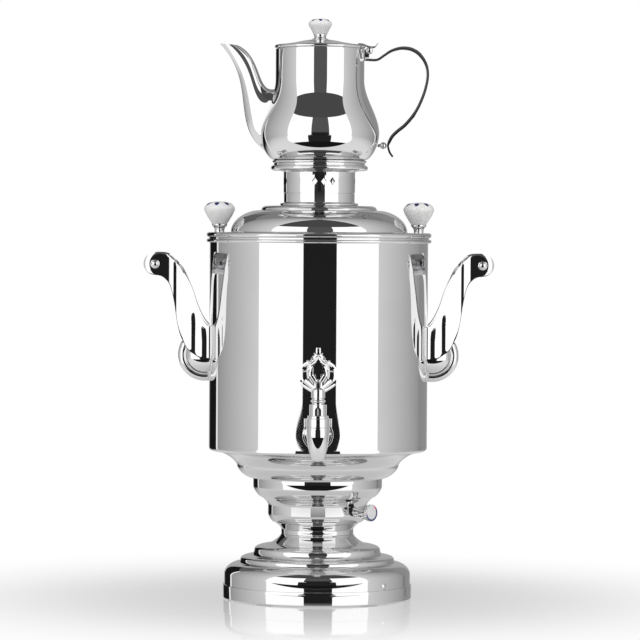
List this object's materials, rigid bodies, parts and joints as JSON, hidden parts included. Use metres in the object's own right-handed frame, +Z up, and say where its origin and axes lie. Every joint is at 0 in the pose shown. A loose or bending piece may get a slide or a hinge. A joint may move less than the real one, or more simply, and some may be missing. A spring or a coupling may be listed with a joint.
{
  "type": "electric samovar",
  "caption": "Polished steel electric samovar on a stepped foot, with turning tap key, heat knob, carrying handles, lift-off lid and pot holder, and a teapot with hinged lid.",
  "frame": {"origin": "centre of the standing circle of the foot, on the plane of the table; it lies on the tank's axis", "axes": "+Z up along the tank's axis, -Y towards the tap at the front, +X to the right as seen from the front, where the thermostat knob and the teapot's handle are"},
  "size_m": [0.3812, 0.2936, 0.6384],
  "materials": {
    "polished_steel": "mirror polished stainless steel",
    "grip_steel": "satin stainless steel",
    "plain_steel": "plain bright steel",
    "porcelain": "white glaze with small cobalt-blue dots",
    "black_rubber": "matte black",
    "dial_enamel": "white disc with a printed temperature ring",
    "ceramic_block": "unglazed steatite",
    "moulded_plastic": "black phenolic",
    "element_tube": "heat-tinted sheath"
  },
  "bodies": {
    "samovar": {"rubber_feet": "black_rubber", "base_plate": "plain_steel", "foot_skirt": "polished_steel", "foot_cover": "polished_steel", "cover_screws": "polished_steel", "cord_gland": "black_rubber", "terminal_block": "ceramic_block", "waist_collar": "polished_steel", "pedestal_bowl": "polished_steel", "tie_rods": "plain_steel", "tie_nuts": "plain_steel", "thermostat_body": "ceramic_block", "thermostat_washer": "black_rubber", "safety_cutout": "moulded_plastic", "tank_bottom": "polished_steel", "tank_wall": "polished_steel", "heating_element": "element_tube", "element_nuts": "plain_steel", "tap_body": "polished_steel", "tap_rosette": "polished_steel", "tap_gasket": "black_rubber", "tap_nut": "plain_steel", "tap_bonnet": "polished_steel", "left_front_plate": "polished_steel", "left_rear_plate": "polished_steel", "right_front_plate": "polished_steel", "right_rear_plate": "polished_steel", "left_grip": "grip_steel", "right_grip": "grip_steel", "left_cap_nuts": "polished_steel", "right_cap_nuts": "polished_steel", "left_handle_foot": "polished_steel", "right_handle_foot": "polished_steel", "handle_studs": "plain_steel"},
    "tap_handle": {"tap_key": "polished_steel", "tap_plug": "plain_steel"},
    "dial": {"dial_knob": "polished_steel", "dial_face": "dial_enamel", "dial_shaft": "plain_steel"},
    "lid": {"lid_shell": "polished_steel", "lid_neck": "polished_steel", "lid_ferrules": "polished_steel", "lid_knobs": "porcelain", "lid_screws": "plain_steel"},
    "holder": {"pot_holder": "polished_steel"},
    "teapot": {"pot_body": "polished_steel", "pot_base_ring": "polished_steel", "pot_spout": "polished_steel", "pot_handle": "polished_steel", "pot_handle_ball": "polished_steel", "pot_hinge_bracket": "polished_steel", "pot_hinge_pin": "plain_steel"},
    "teapot_lid": {"pot_lid": "polished_steel", "pot_lid_leaf": "polished_steel", "pot_ferrule": "polished_steel", "pot_knob": "porcelain", "pot_knob_screw": "plain_steel"}
  },
  "joints": [
    {"name": "tap_turn", "type": "hinge", "parent": "samovar", "child": "tap_handle", "pos_m": [0, -0.158, 0.2065], "axis": [0, 0, 1], "range_deg": [0, 90]},
    {"name": "dial_turn", "type": "hinge", "parent": "samovar", "child": "dial", "pos_m": [0.04316, -0.04168, 0.0983], "axis": [0.7193, -0.6947, 0], "range_deg": [0, 270]},
    {"name": "lid_lift", "type": "slide", "parent": "samovar", "child": "lid", "axis": [0, 0, 1], "range_m": [0, 0.12]},
    {"name": "holder_lift", "type": "slide", "parent": "lid", "child": "holder", "axis": [0, 0, 1], "range_m": [0, 0.06]},
    {"name": "teapot_lift", "type": "slide", "parent": "holder", "child": "teapot", "axis": [0, 0, 1], "range_m": [0, 0.1]},
    {"name": "teapot_lid_swing", "type": "hinge", "parent": "teapot", "child": "teapot_lid", "pos_m": [0.0541, 0, 0.60275], "axis": [0, 1, 0], "range_deg": [0, 70]}
  ]
}
